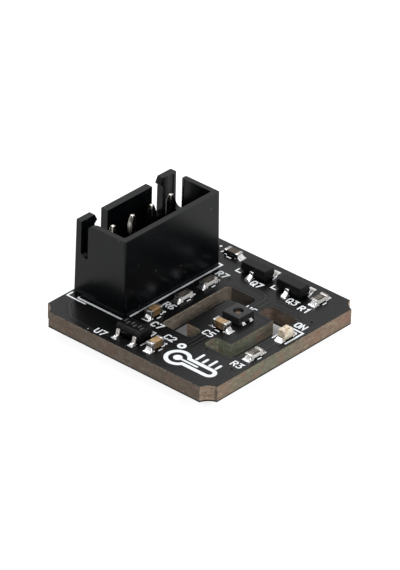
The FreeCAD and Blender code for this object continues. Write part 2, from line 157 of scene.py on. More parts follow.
def span(points, axis):
    """Lowest and highest value of some points along an axis."""
    values = [p[axis] for p in points]
    return min(values), max(values)


# Finishes

# Middle and reach of the olive stretch of the board's edge, in millimetres
GREEN_CENTRE = (7.0, -2.5, 2.0)
GREEN_REACH = (3.6, 6.6)

# Colours of the cut glass fibre, along its mottling
TAN = ((0.3, (0.16, 0.108, 0.074)), (0.5, (0.3, 0.222, 0.16)), (0.72, (0.5, 0.41, 0.32)))
OLIVE = ((0.3, (0.1, 0.105, 0.068)), (0.5, (0.2, 0.21, 0.15)), (0.75, (0.38, 0.39, 0.3)))
GREY = ((0.3, (0.13, 0.125, 0.11)), (0.72, (0.4, 0.385, 0.34)))
RED_BROWN = (0.3, 0.165, 0.12)

# Copper lines in the board's edge: ends of each band, from the underside and from the top; the dark low
# band is also painted shade.
LOW_COPPER_AND_SHADE_BAND = (0.14, 0.22)
LOW_COPPER_AND_SHADE_BAND_GAIN = 0.05
TOP_BAND = (0.05, 0.1)

# Painted sheen: the paler tone on the inner face of the far latch post.
NYLON_PAINTED_SHEEN = (0.068, 0.068, 0.068)
DUST = (0.16, 0.16, 0.155)
FLUX_BROWN = (0.22, 0.11, 0.05)

# Sockets of a colour mix node
MIX_FACTOR, MIX_FIRST, MIX_SECOND, MIX_RESULT = 0, 6, 7, 2


def add_node(tree, kind, inputs=None, **settings):
    """New shader node, with its inputs set to values or linked to other nodes' sockets."""
    node = tree.nodes.new("ShaderNode" + kind)
    for key, value in settings.items():
        setattr(node, key, value)
    for key, value in (inputs or {}).items():
        if isinstance(value, bpy.types.NodeSocket):
            tree.links.new(value, node.inputs[key])
        else:
            node.inputs[key].default_value = value
    return node


def remapped(tree, value, start, end, low=0.0, high=1.0):
    """A value that goes from low to high while another goes from start to end."""
    inputs = {"Value": value, "From Min": start, "From Max": end, "To Min": low, "To Max": high}
    return add_node(tree, "MapRange", inputs).outputs["Result"]


def calculated(tree, operation, *values):
    """Result of a sum on values or sockets."""
    return add_node(tree, "Math", dict(enumerate(values)), operation=operation).outputs[0]


class Finish:
    """A node material while it is being put together."""

    def __init__(self, name, **settings):
        self.material = bpy.data.materials.new(name)
        self.material.use_nodes = True
        self.tree = self.material.node_tree
        self.shader = self.tree.nodes["Principled BSDF"]
        for key, value in settings.items():
            self.shader.inputs[key.replace("_", " ")].default_value = value
        self.place = self.add("TexCoord").outputs["Object"]

    def add(self, kind, inputs=None, **settings):
        return add_node(self.tree, kind, inputs, **settings)

    def stretched(self, x, y, z):
        """The piece's own place, scaled by so many cells per millimetre."""
        scale = (x / MM, y / MM, z / MM)
        return self.add("Mapping", {"Vector": self.place, "Scale": scale}).outputs["Vector"]

    def noise(self, cells, detail=4.0, roughness=0.55, vector=None):
        """Cloudy pattern of so many cells per millimetre, or on a stretched place."""
        inputs = {"Vector": vector or self.place, "Scale": 1.0 if vector else cells / MM,
                  "Detail": detail, "Roughness": roughness}
        return self.add("TexNoise", inputs).outputs["Fac"]

    def ramp(self, value, *stops):
        """Colours along a value from 0 to 1; each stop is a place and a colour or a grey."""
        node = self.add("ValToRGB", {"Fac": value})
        ends = node.color_ramp.elements
        while len(ends) < len(stops):
            ends.new(0.5)
        for end, (place, colour) in zip(ends, stops):
            shade = colour if isinstance(colour, tuple) else (colour, colour, colour)
            end.position = place
            end.color = (*shade, 1.0)
        return node.outputs["Color"]

    def mix(self, factor, first, second, blend="MIX"):
        """One colour over another; each is a socket or a colour."""
        first, second = [(*c, 1.0) if isinstance(c, tuple) else c for c in (first, second)]
        inputs = {MIX_FACTOR: factor, MIX_FIRST: first, MIX_SECOND: second}
        node = self.add("Mix", inputs, data_type="RGBA", blend_type=blend)
        return node.outputs[MIX_RESULT]

    def specks(self, cells, size, share):
        """1 on small scattered specks, 0 elsewhere."""
        cell = self.add("TexVoronoi", {"Vector": self.place, "Scale": cells / MM})
        chosen = self.add("SeparateColor", {"Color": cell.outputs["Color"]})
        near = calculated(self.tree, "LESS_THAN", cell.outputs["Distance"], size)
        few = calculated(self.tree, "LESS_THAN", chosen.outputs["Red"], share)
        return calculated(self.tree, "MULTIPLY", near, few)

    def colour(self, socket):
        self.tree.links.new(socket, self.shader.inputs["Base Color"])

    def rough(self, value, low, high):
        """Roughness that follows a value from 0 to 1."""
        share = remapped(self.tree, value, 0.0, 1.0, low, high)
        self.tree.links.new(share, self.shader.inputs["Roughness"])

    def bump(self, value, height):
        """Surface relief of so many millimetres."""
        node = self.add("Bump", {"Height": value, "Distance": height * MM, "Strength": 1.0})
        self.tree.links.new(node.outputs["Normal"], self.shader.inputs["Normal"])


def mask_finish(name, dark, light, specular=0.18):
    """Black solder mask: a glossy skin that shows a trace of the glass weave below."""
    finish = Finish(name, Specular_IOR_Level=specular)
    cloud = finish.noise(0.25, 3.0)
    grain = finish.noise(9.0, 5.0, 0.7)
    tint = finish.ramp(cloud, (0.35, dark), (0.7, light))
    finish.colour(finish.mix(0.25, tint, finish.ramp(grain, (0.4, dark), (0.75, light))))
    finish.rough(grain, 0.2, 0.32)
    weave = finish.add("TexChecker", {"Vector": finish.place, "Scale": 2.2 / MM})
    finish.bump(finish.mix(0.15, finish.noise(4.0, 4.0), weave.outputs["Fac"]), 0.004)
    return finish.material


def laminate_finish(name, shade, top_line_and_light, greyness=0.0, warmth=0.62):
    """Cut glass-fibre edge: mottled tan and brown in faint layers, olive where light comes through."""
    finish = Finish(name, Specular_IOR_Level=0.2)
    mottle = finish.noise(1.0, 8.0, 0.8, finish.stretched(1.6, 1.6, 3.0))
    fine = finish.noise(1.0, 5.0, 0.8, finish.stretched(7.0, 7.0, 12.0))
    layers = finish.noise(1.0, 2.0, 0.5, finish.stretched(0.3, 0.3, 3.0))
    centre = tuple(value * MM for value in GREEN_CENTRE)
    away = finish.add("VectorMath", {0: finish.place, 1: centre}, operation="DISTANCE")
    near, far = GREEN_REACH
    reach = remapped(finish.tree, away.outputs["Value"], near * MM, far * MM, 1.0, 0.0)
    patchy = finish.ramp(finish.noise(0.22, 2.0), (0.3, 0.35), (0.6, 1.0))
    green = finish.mix(1.0, reach, patchy, "MULTIPLY")
    blend = finish.mix(green, finish.ramp(mottle, *TAN), finish.ramp(mottle, *OLIVE))
    warm = finish.ramp(finish.noise(0.8, 3.0), (0.48, 0.0), (0.66, warmth))
    blend = finish.mix(warm, blend, RED_BROWN)
    blend = finish.mix(greyness, blend, finish.ramp(mottle, *GREY))
    for pattern, low, high in ((fine, 0.5, 1.5), (layers, 0.88, 1.12)):
        blend = finish.mix(1.0, blend, finish.ramp(pattern, (0.34, low), (0.66, high)), "MULTIPLY")
    level = finish.add("SeparateXYZ", {0: finish.place}).outputs["Z"]
    low_copper_and_shade_band = [BOARD_BOTTOM + rise for rise in LOW_COPPER_AND_SHADE_BAND]
    top_band = [BOARD_TOP - drop for drop in TOP_BAND]
    # Painted light and shade: the low band darkens the bottom besides its copper, and
    # top_line_and_light above 1 lightens the top copper line, below 1 darkens it.
    for (edge, inner), gain in ((low_copper_and_shade_band, LOW_COPPER_AND_SHADE_BAND_GAIN), (top_band, top_line_and_light)):
        band = remapped(finish.tree, level, edge * MM, inner * MM, gain, 1.0)
        blend = finish.mix(1.0, blend, band, "MULTIPLY")
    finish.colour(finish.mix(1.0, blend, shade, "MULTIPLY"))
    finish.rough(mottle, 0.55, 0.8)
    finish.bump(finish.noise(1.0, 6.0, 0.8, finish.stretched(4.0, 4.0, 14.0)), 0.02)
    return finish.material


def nylon_finish(name, painted_sheen_span=None):
    """Moulded black nylon with a fine satin grain and a little dust; it may carry a painted sheen,
    paler along a span of Y.
    """
    finish = Finish(name, Specular_IOR_Level=0.168)
    cloud = finish.noise(0.5, 3.0)
    base = finish.ramp(cloud, (0.3, (0.0012, 0.0018, 0.0024)), (0.75, (0.0022, 0.0028, 0.0034)))
    if painted_sheen_span:
        start, end = painted_sheen_span
        along = finish.add("SeparateXYZ", {0: finish.place}).outputs["Y"]
        share = remapped(finish.tree, along, start * MM, end * MM)
        # Painted sheen: the nylon pales across this span of Y.
        pale = finish.ramp(share, (0.0, 0.0), (0.75, 1.0), (0.88, 0.9), (1.0, 0.0))
        base = finish.mix(pale, base, NYLON_PAINTED_SHEEN)
    finish.colour(finish.mix(finish.specks(1.1, 0.055, 0.32), base, DUST))
    grain = finish.noise(14.0, 4.0, 0.6)
    finish.rough(grain, 0.19, 0.29)
    finish.bump(grain, 0.0015)
    return finish.material


def metal_finish(name, dark, light, rough_low, rough_high, streaks=(3.0, 3.0, 3.0), relief=0.006):
    """Tin or solder: bright metal with soft clouding and a fine relief; the clouding's dark end is
    partly painted reflection of dark surroundings.
    """
    finish = Finish(name, Metallic=1.0)
    cloud = finish.noise(1.0, 4.0, 0.6, finish.stretched(*streaks))
    finish.colour(finish.ramp(cloud, (0.35, dark), (0.7, light)))
    finish.rough(finish.noise(5.0, 3.0), rough_low, rough_high)
    finish.bump(cloud, relief)
    return finish.material


def ceramic_finish(name, dark, light, rough=(0.4, 0.6), specular=0.4, painted_side_shade=1.0):
    """Fired ceramic with a mottled, slightly grainy surface, and sides of another shade, a painted
    shade set by painted_side_shade.
    """
    finish = Finish(name, Specular_IOR_Level=specular)
    mottle = finish.noise(3.5, 5.0, 0.65)
    tint = finish.ramp(mottle, (0.3, dark), (0.72, light))
    facing = finish.add("TexCoord").outputs["Normal"]
    upward = finish.add("SeparateXYZ", {0: facing}).outputs["Z"]
    # Painted shade: faces that look sideways are scaled by painted_side_shade.
    gain = remapped(finish.tree, upward, 0.3, 0.8, painted_side_shade, 1.0)
    finish.colour(finish.mix(1.0, tint, gain, "MULTIPLY"))
    finish.rough(mottle, *rough)
    finish.bump(finish.noise(12.0, 4.0), 0.004)
    return finish.material


def epoxy_finish(name, dark, light, rough, specular):
    """Moulded epoxy with the fine spark-eroded grain of its mould."""
    finish = Finish(name, Specular_IOR_Level=specular)
    cloud = finish.noise(1.3, 4.0)
    grain = finish.noise(22.0, 3.0, 0.6)
    finish.colour(finish.ramp(cloud, (0.3, dark), (0.75, light)))
    finish.rough(grain, *rough)
    finish.bump(grain, 0.008)
    return finish.material


def ink_finish():
    """White legend ink, slightly worn and uneven."""
    finish = Finish("legend_ink", Specular_IOR_Level=0.3)
    cloud = finish.noise(3.0, 5.0, 0.7)
    finish.colour(finish.ramp(cloud, (0.3, (0.84, 0.89, 0.94)), (0.6, (0.95, 0.98, 1.0))))
    finish.rough(cloud, 0.45, 0.65)
    finish.bump(finish.noise(11.0, 3.0), 0.004)
    return finish.material


def lens_finish():
    """Milky cream resin with a few brown flecks of flux."""
    finish = Finish("lamp_lens", Specular_IOR_Level=0.5, Subsurface_Weight=0.25,
                    Subsurface_Scale=0.3 * MM)
    mottle = finish.noise(1.9, 4.0)
    cream = finish.ramp(mottle, (0.36, (0.42, 0.3, 0.17)), (0.56, (0.9, 0.82, 0.67)))
    finish.colour(finish.mix(finish.specks(3.4, 0.26, 0.2), cream, FLUX_BROWN))
    finish.rough(mottle, 0.2, 0.4)
    finish.bump(finish.noise(6.0, 3.0), 0.008)
    return finish.material


# Solder mask
mask = mask_finish("solder_mask", (0.0022, 0.0026, 0.003), (0.0048, 0.0047, 0.0046))
mask_over_copper = mask_finish("solder_mask_over_copper", (0.009, 0.009, 0.0085),
                               (0.016, 0.0155, 0.015))
mask_in_gap = mask_finish("solder_mask_in_gap", 0.001, 0.002, 0.05)
mask_at_margin = mask_finish("solder_mask_at_margin", (0.003, 0.003, 0.0032),
                             (0.006, 0.006, 0.0058), 0.12)

# Cut edges of the board
# Painted light and shade: the laminate copies below differ in shade and top line by where their faces
# lie and which way they face.
laminate = laminate_finish("laminate_edge", (0.84, 0.83, 0.82), 1.25)
near_laminate_painted_shade = laminate_finish("laminate_near_edge_painted_shade", (0.45, 0.475, 0.5), 1.2, 0.0, 0.5)
corner_laminate_painted_light = laminate_finish("laminate_corner_painted_light", (2.0, 1.95, 1.9), 1.0)
island_laminate_painted_light = laminate_finish("laminate_island", (1.2, 1.24, 1.26), 1.3)
island_side_laminate_painted_shade = laminate_finish("laminate_island_side_painted_shade", (0.76, 0.78, 0.8), 1.3)
left_wall_laminate_painted_shade = laminate_finish("laminate_left_wall_painted_shade", (0.62, 0.62, 0.6), 2.0, 0.6)
far_wall_laminate_painted_shade = laminate_finish("laminate_far_wall_painted_shade", (0.3, 0.3, 0.3), 0.5, 0.7)
brown_wall_laminate_painted_shade = laminate_finish("laminate_brown_wall_painted_shade", (0.5, 0.5, 0.52), 0.5, 0.15, 0.6)
rim = ceramic_finish("laminate_rim", (0.03, 0.028, 0.022), (0.26, 0.23, 0.18), (0.6, 0.8), 0.0)
# The lower rim is darker than the upper: partly the black mask's edge, partly painted shade under the
# board.
low_rim_mask_and_shade = ceramic_finish("laminate_low_rim_mask_and_shade", (0.008, 0.007, 0.006), (0.03, 0.025, 0.02),
                         (0.6, 0.8), 0.0)

# Plastics and ink
POST_PAINTED_SHEEN_SPAN = (4.55, 5.8)
nylon = nylon_finish("black_nylon")
post_nylon_painted_sheen = nylon_finish("black_nylon_post_painted_sheen", POST_PAINTED_SHEEN_SPAN)
epoxy = epoxy_finish("black_epoxy", (0.003, 0.003, 0.0035), (0.0075, 0.0075, 0.008),
                     (0.5, 0.7), 0.15)
glossy_epoxy = epoxy_finish("glossy_black_epoxy", (0.0015, 0.0015, 0.002), (0.004, 0.004, 0.0045),
                            (0.24, 0.36), 0.16)
sensor_epoxy = epoxy_finish("sensor_epoxy", (0.014, 0.014, 0.015), 0.027, (0.45, 0.6), 0.22)
ink = ink_finish()
lens = lens_finish()

# Tin and solder
pin_tin = metal_finish("pin_tin", (0.42, 0.4, 0.35), (0.66, 0.64, 0.58), 0.16, 0.26,
                       (5.0, 5.0, 0.4), 0.0008)
lead_tin = metal_finish("lead_tin", (0.42, 0.42, 0.41), (0.78, 0.78, 0.77), 0.2, 0.34)
# Painted reflection: the end tin's dark stop stands for dark things that it mirrors.
end_tin = metal_finish("end_tin", (0.2, 0.19, 0.18), (0.62, 0.6, 0.57), 0.2, 0.36, (4.0, 4.0, 4.0))
# Painted reflection: the solder's dark stop stands for dark things that it mirrors.
solder = metal_finish("solder", (0.34, 0.34, 0.35), (0.97, 0.97, 0.98), 0.06, 0.16,
                      (3.6, 3.6, 3.6), 0.012)
# Painted light: a lighter copy of the solder, for the transistors' near joints and the lamp's joints.
solder_painted_light = metal_finish("solder_painted_light", (0.78, 0.78, 0.8), 0.97, 0.14, 0.28, relief=0.003)

# Ceramics
alumina = ceramic_finish("white_ceramic", (0.62, 0.61, 0.59), (0.86, 0.85, 0.82))
film = ceramic_finish("resistor_film", (0.022, 0.016, 0.011), (0.085, 0.06, 0.042), specular=0.2)
black_ceramic = ceramic_finish("black_ceramic", 0.008, 0.02, (0.25, 0.4))
# Painted shade: the block's sides are darker than its top.
tan_ceramic = ceramic_finish("tan_ceramic", (0.22, 0.12, 0.046), (0.6, 0.39, 0.19), (0.25, 0.45),
                             painted_side_shade=0.4)
die = ceramic_finish("sensor_die", (0.05, 0.028, 0.018), (0.3, 0.2, 0.14), (0.1, 0.25), 0.6)
lamp_base = ceramic_finish("lamp_base", (0.5, 0.44, 0.32), (0.72, 0.68, 0.56))
code_ink = ceramic_finish("code_ink", (0.12, 0.115, 0.1), (0.3, 0.29, 0.26))
laser_mark = ceramic_finish("laser_mark", 0.1, (0.24, 0.24, 0.235), (0.6, 0.8), 0.1)


# Board

BOARD_FINISHES = [mask, laminate, near_laminate_painted_shade, corner_laminate_painted_light, island_laminate_painted_light, island_side_laminate_painted_shade,
                  left_wall_laminate_painted_shade, far_wall_laminate_painted_shade, brown_wall_laminate_painted_shade, rim, low_rim_mask_and_shade]
OUTER_FINISHES = [laminate, near_laminate_painted_shade, corner_laminate_painted_light]
CORNER_REACH = 1.8
EDGE_REACH = 2.0
SLOT_REACH = 3.0
ISLAND_REACH = 2.5
RIM_WIDTH = 0.04
island_middle = middle_of("sensor_package")


def board_finish(face):
    """Finish of one face of the board, by where it lies and which way it faces; the laminate copies
    carry painted light and shade.
    """
    place = face.calc_center_median() / MM
    if abs(face.normal.z) > 0.5:
        return mask
    if min(place.x, place.y) > HALF - CORNER_REACH:
        return corner_laminate_painted_light
    if max(abs(place.x), abs(place.y)) > HALF - EDGE_REACH:
        return near_laminate_painted_shade if face.normal.y < -0.9 else laminate
    if abs(place.x - island_middle.x) > SLOT_REACH:
        return left_wall_laminate_painted_shade
    if place.y > island_middle.y + ISLAND_REACH:
        return far_wall_laminate_painted_shade if place.x < island_middle.x else brown_wall_laminate_painted_shade
    return island_side_laminate_painted_shade if face.normal.x > 0.5 else island_laminate_painted_light


def circuit_board():
    """The board's solid: mask, cut edges, slot walls, and dark rims round its outline."""
    bm = welded("circuit_board")
    for face in bm.faces:
        face.material_index = BOARD_FINISHES.index(board_finish(face))
    outline = []
    for edge in bm.edges:
        sides = [BOARD_FINISHES[face.material_index] for face in edge.link_faces]
        if mask in sides and any(side in OUTER_FINISHES for side in sides):
            outline.append(edge)
    for face in bevelled(bm, outline, RIM_WIDTH, 1):
        # Lower rim faces take the darker copy, which holds painted shade besides the mask's edge.
        upper = face.calc_center_median().z / MM > (BOARD_TOP + BOARD_BOTTOM) / 2
        face.material_index = BOARD_FINISHES.index(rim if upper else low_rim_mask_and_shade)
    smooth(bm, math.radians(28))
    piece = object_from(bm, "board")
    for finish in BOARD_FINISHES:
        piece.data.materials.append(finish)
    dress(piece, mask, ["circuit_board"])


circuit_board()


# Flat strokes: print and traces

CAP_STEPS = 6
DISC_STEPS = 28


def raise_faces(bm, faces, height):
    """Give flat faces a thickness."""
    made = bmesh.ops.extrude_face_region(bm, geom=faces, use_keep_orig=True)
    lifted = [item for item in made["geom"] if isinstance(item, bmesh.types.BMVert)]
    bmesh.ops.translate(bm, verts=lifted, vec=(0, 0, height * MM))


def arc(centre, radius, start, end, steps):
    """Points along an arc, with its angles in degrees."""
    angles = [math.radians(start + (end - start) * i / steps) for i in range(steps + 1)]
    return [(centre[0] + radius * math.cos(a), centre[1] + radius * math.sin(a)) for a in angles]


def directions(points):
    """Direction from each point of a closed path to the next."""
    return [(after - here).normalized() for here, after in zip(points, points[1:] + points[:1])]


def mitre(into, out, least):
    """Step to the left at a corner that offsets both its sides by 1, but for very sharp ones."""
    along = (into + out).normalized()
    across = Vector((-along.y, along.x))
    return across / max(least, across.dot(Vector((-into.y, into.x))))


def ribbon(bm, path, width, level, height, closed=False):
    """Flat stroke along a path on the board, with round ends and corners cut on the mitre."""
    points = [Vector(p) for p in path]
    if closed and (points[0] - points[-1]).length < WELD:
        points.pop()
    count = len(points)
    half = width / 2
    ways = directions(points)
    sides = []
    for i, point in enumerate(points):
        into = ways[i - 1] if closed or i > 0 else ways[0]
        out = ways[i] if closed or i < count - 1 else into
        step = mitre(into, out, 0.35) * half
        sides.append((point + step, point - step))
    verts = [[vert_at(bm, p.x, p.y, level) for p in pair] for pair in sides]
    faces = []
    for i in range(count if closed else count - 1):
        a, b = verts[i], verts[(i + 1) % count]
        faces.append(bm.faces.new((a[0], b[0], b[1], a[1])))
    if not closed:
        for end, side, middle in ((0, 0, points[0]), (-1, 1, points[-1])):
            first = sides[end][side]
            angle = math.atan2(first.y - middle.y, first.x - middle.x)
            turns = [angle + math.pi * k / CAP_STEPS for k in range(1, CAP_STEPS)]
            cap = [vert_at(bm, middle.x + half * math.cos(a), middle.y + half * math.sin(a), level)
                   for a in turns]
            faces.append(bm.faces.new([verts[end][side], *cap, verts[end][1 - side]]))
    raise_faces(bm, faces, height)


def disc(bm, centre, radius, level, height, hole=0.0):
    """Flat round dot, or a ring if it has a hole."""
    if hole:
        path = arc(centre, (radius + hole) / 2, 0, 360, DISC_STEPS)
        ribbon(bm, path, radius - hole, level, height, True)
    else:
        outline = arc(centre, radius, 0, 360, DISC_STEPS)[:-1]
        raise_faces(bm, [bm.faces.new([vert_at(bm, x, y, level) for x, y in outline])], height)


RING = [(0, 1), (0, 5), (1, 6), (3, 6), (4, 5), (4, 1), (3, 0), (1, 0), (0, 1)]
GLYPHS = {
    "R": [[(0, 0), (0, 6)], [(0, 6), (3, 6), (4, 5), (4, 4), (3, 3), (0, 3)], [(1.8, 3), (4, 0)]],
    "C": [[(4, 5), (3, 6), (1, 6), (0, 5), (0, 1), (1, 0), (3, 0), (4, 1)]],
    "Q": [RING, [(2.3, 2.0), (4.8, -0.8)]],
    "U": [[(0, 6), (0, 1), (1, 0), (3, 0), (4, 1), (4, 6)]],
    "O": [RING],
    "N": [[(0, 0), (0, 6), (4, 0), (4, 6)]],
    "1": [[(1, 5), (2.4, 6), (2.4, 0)]],
    "2": [[(0, 5), (1, 6), (3, 6), (4, 5), (4, 4), (0, 0), (4.2, 0)]],
    "3": [[(0, 6), (4, 6), (1.8, 3.6), (3, 3.6), (4, 2.6), (4, 1), (3, 0), (0.8, 0), (0, 0.8)]],
    "5": [[(4, 6), (0, 6), (0, 3.4), (3, 3.4), (4, 2.4), (4, 1), (3, 0), (0, 0)]],
    "6": [[(4, 6), (1.6, 6), (0, 4), (0, 1), (1, 0), (3, 0), (4, 1), (4, 2), (3, 3)], [(3, 3), (0, 3)]],
    "7": [[(0, 6), (4, 6), (1.6, 0)]],
    "8": [[(1, 3), (0, 4), (0, 5), (1, 6), (3, 6), (4, 5), (4, 4), (3, 3), (1, 3)],
          [(1, 3), (0, 2), (0, 1), (1, 0), (3, 0), (4, 1), (4, 2), (3, 3)]],
}
GLYPH_HEIGHT = 6.0
GLYPH_WIDTH = 4.0
GLYPH_STEP = 5.9
GLYPH_NARROWING = 0.88
STROKE_LIFT = 0.002


def write(bm, text, x, y, height, width, level, thickness, turn=0.0):
    """Letters in strokes; x, y is the lower left corner and turn an angle in degrees.

    Each stroke of a letter is a little higher than the last, so that none lies in another.
    """
    scale = height / GLYPH_HEIGHT
    c, s = math.cos(math.radians(turn)), math.sin(math.radians(turn))
    for i, letter in enumerate(text):
        for order, stroke in enumerate(GLYPHS[letter]):
            local = [((px + i * GLYPH_STEP) * scale * GLYPH_NARROWING, py * scale) for px, py in stroke]
            ribbon(bm, [(x + px * c - py * s, y + px * s + py * c) for px, py in local],
                   width, level, thickness + order * STROKE_LIFT, stroke[0] == stroke[-1])


# Legend

INK_LEVEL = BOARD_TOP + 0.001
INK_HEIGHT = 0.02
LABEL_HEIGHT = 0.7
LABEL_LINE = 0.16
THIN_LINE = 0.13
FINE_LINE = 0.115
CHIP_LINE = 0.14
CORNER_LINE = 0.15
SIDE_LINE = 0.18
END_LINE = 0.2


def print_piece(name, draw):
    """One printed piece of the legend; draw adds its strokes."""
    bm = bmesh.new()
    draw(bm)
    dress(object_from(bm, name), ink)


def ink_line(bm, path, width, closed=False, lift=0.0):
    ribbon(bm, path, width, INK_LEVEL, INK_HEIGHT + lift, closed)


def ink_dot(bm, centre, radius, hole=0.0):
    disc(bm, centre, radius, INK_LEVEL, INK_HEIGHT, hole)


def header_legend(bm):
    """Outline beside the header, the mark of its first pin, and two small dots."""
    side, far, near = -3.22, 6.6, -6.48
    mark_left, mark_near = -9.65, -6.8
    ink_line(bm, [(side, near + 0.93), (side, far), (side - 0.43, far)], SIDE_LINE)
    ink_line(bm, [(-8.65, near + 0.12), (-8.6, near), (side - 0.18, near)], END_LINE)
    ink_line(bm, [(mark_left, mark_near + 0.7), (mark_left, mark_near), (mark_left + 2.15, mark_near)],
             LABEL_LINE)
    ink_dot(bm, (-4.49, -9.66), 0.045)
    ink_dot(bm, (-5.47, 8.98), 0.13)


# Text, lower left corner and line width of each reference mark
LABELS = [
    ("R7", -2.6, 5.0, LABEL_LINE), ("R6", -2.45, -2.2, LABEL_LINE), ("C7", -1.0, -5.4, LABEL_LINE),
    ("ON", 8.2, 3.2, LABEL_LINE), ("R1", 6.58, 5.55, 0.15), ("Q7", 0.72, 5.85, 0.145),
    ("C2", 1.25, -6.2, FINE_LINE), ("U7", -3.85, -9.65, THIN_LINE), ("C5", 3.15, -3.28, FINE_LINE),
    ("R3", 8.35, -5.42, THIN_LINE), ("Q3", 4.97, 5.8, FINE_LINE), ("U6", 3.1, 2.26, THIN_LINE),
]


def designators(bm):
    for text, x, y, line in LABELS:
        write(bm, text, x, y, LABEL_HEIGHT, line, INK_LEVEL, INK_HEIGHT)


def chip_marks(bm):
    """Short bars at both sides of each chip."""
    aside, half_length = 0.62, 0.2
    chips = ["resistor_%d_body" % n for n in range(1, 6)]
    chips += ["capacitor_%d_body" % n for n in range(1, 4)]
    for node in chips:
        low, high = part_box(node)
        along_x = high.x - low.x > high.y - low.y
        half = Vector((half_length, 0.0) if along_x else (0.0, half_length))
        across = Vector((0.0, 1.0) if along_x else (1.0, 0.0))
        for side in (-aside, aside):
            middle = middle_of(node).xy + across * side
            ink_line(bm, [middle - half, middle + half], CHIP_LINE)


def leaded_marks(bm):
    """Corner marks of the transistors and the end line of the regulator."""
    leg = 0.5
    for node in ("transistor_1_body", "transistor_2_body"):
        centre = middle_of(node)
        x0, x1 = centre.x - 1.86, centre.x + 1.58
        y0 = centre.y - 0.8
        ink_line(bm, [(x0 + leg, y0), (x0, y0), (x0, y0 + leg)], CORNER_LINE)
        ink_line(bm, [(x1, centre.y + 0.32), (x1 - 0.25, centre.y + 1.1)], CORNER_LINE)
    x1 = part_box("regulator_body")[1].x / MM + 0.12
    middle = middle_of("regulator_body").y
    ink_line(bm, [(x1, middle - 0.8), (x1, middle - 0.1)], CORNER_LINE)


def lamp_marks(bm):
    """Bracket round the lamp, open at its near end."""
    low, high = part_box("led_base")
    x0, x1 = low.x / MM - 0.3, high.x / MM + 0.3
    y0, y1 = low.y / MM - 0.1, high.y / MM + 0.72
    ink_line(bm, [(x0, y0), (x0, y1), (x1, y1), (x1, y0)], SIDE_LINE)


def thermometer(bm):
    """Pictogram of a thermometer that lies along the near edge."""
    bulb = (4.35, -7.75)
    bulb_radius, tube_half, line = 1.05, 0.5, 0.4
    tip, column_tip = 8.0, 6.6
    opening = math.degrees(math.asin(tube_half / bulb_radius))
    outline = arc(bulb, bulb_radius, opening, 360 - opening, 26)
    outline += arc((tip, bulb[1]), tube_half, -90, 90, 12)
    ink_line(bm, outline, line, True)
    ink_dot(bm, bulb, 0.42)
    ink_line(bm, [bulb, (column_tip, bulb[1])], 0.22, lift=STROKE_LIFT)
    scale_start, scale_step, scale_y = 5.75, 0.75, -6.85
    for i in range(4):
        x = scale_start + scale_step * i
        ink_line(bm, [(x, scale_y), (x, scale_y + (0.62 if i % 2 else 0.95))], 0.26)
    ink_dot(bm, (3.35, -6.1), 0.42, 0.16)


for name, draw in (("header", header_legend), ("designators", designators), ("chips", chip_marks),
                   ("leaded", leaded_marks), ("lamp", lamp_marks), ("thermometer", thermometer)):
    print_piece("legend_" + name, draw)


# Copper under the mask: tracks, holes and the ends of the poured copper

# Width and path of each track
BRIDGE_TRACES = [
    (0.2, [(3.41, -3.2), (3.41, -5.4), (2.6, -6.2), (1.95, -6.6)]),
    (0.2, [(3.86, -3.2), (3.86, -5.5), (2.9, -6.45), (2.1, -7.0)]),
]
TRACES = [
    (0.25, [(-1.95, -0.9), (-1.95, -2.9)]),
    (0.25, [(-1.95, 1.2), (-1.95, 2.2)]),
    (0.25, [(3.45, 3.4), (3.45, 4.9), (2.9, 5.45), (1.0, 5.45), (0.4, 5.95)]),
    (0.25, [(4.0, 3.4), (4.0, 4.9), (4.6, 5.5), (6.1, 5.5), (7.0, 6.4), (7.0, 6.8)]),
    (0.3, [(8.95, -4.2), (8.95, -5.9)]),
    (0.3, [(8.95, -1.7), (8.95, 0.0)]),
    (0.3, [(8.88, 2.5), (8.95, 4.75)]),
    (0.3, [(-3.3, 8.6), (-4.9, 8.6), (-6.6, 8.9), (-8.9, 7.2), (-8.9, 4.0)]),
    (0.3, [(-2.4, 8.6), (-1.4, 8.95), (0.9, 8.95), (1.1, 8.6)]),
    (0.3, [(-1.9, -9.2), (-3.4, -9.5), (-6.9, -9.3), (-8.6, -7.7), (-8.6, -6.6)]),
]
VIAS = [(8.92, 4.76), (5.27, -5.0), (8.95, -5.9), (-8.9, 4.0), (0.55, -9.2), (-1.2, 5.3)]
UNDER_TRACES = [
    (0.3, [(-7.15, 1.39), (-4.2, 1.39), (-1.2, 4.4), (-1.2, 5.3)]),
    (0.3, [(-7.15, -1.15), (-4.6, -1.15), (-2.2, -3.5), (-2.2, -5.6), (0.55, -8.3), (0.55, -9.2)]),
    (0.45, [(-7.15, 3.93), (-5.0, 6.1), (2.0, 6.1), (7.6, 6.1), (8.98, 4.72)]),
    (0.45, [(-7.15, -3.69), (-4.4, -6.4), (3.9, -6.4), (5.27, -5.0)]),
    (0.3, [(5.27, -5.0), (7.6, -5.9), (8.95, -5.9)]),
]
COPPER_SINK = 0.002
COPPER_LEVEL = BOARD_TOP - COPPER_SINK
TRACK_HEIGHT = 0.014
VIA_HEIGHT = 0.016
VIA_RADIUS = 0.3
VIA_HOLE = 0.13
HOLE_DOT = 0.15
HOLE_HEIGHT = 0.02
POUR_MARGIN = 0.33
GAP_LINE = 0.1
GAP_HEIGHT = 0.004
MARGIN_HEIGHT = 0.0035
POUR_HEIGHT = 0.005
SLOT_RIM_REACH = 1.5
SLOT_START = -3.0


def under_level(height):
    """Level from which a ridge under the board stands as proud as one on its top."""
    return BOARD_BOTTOM - height + COPPER_SINK


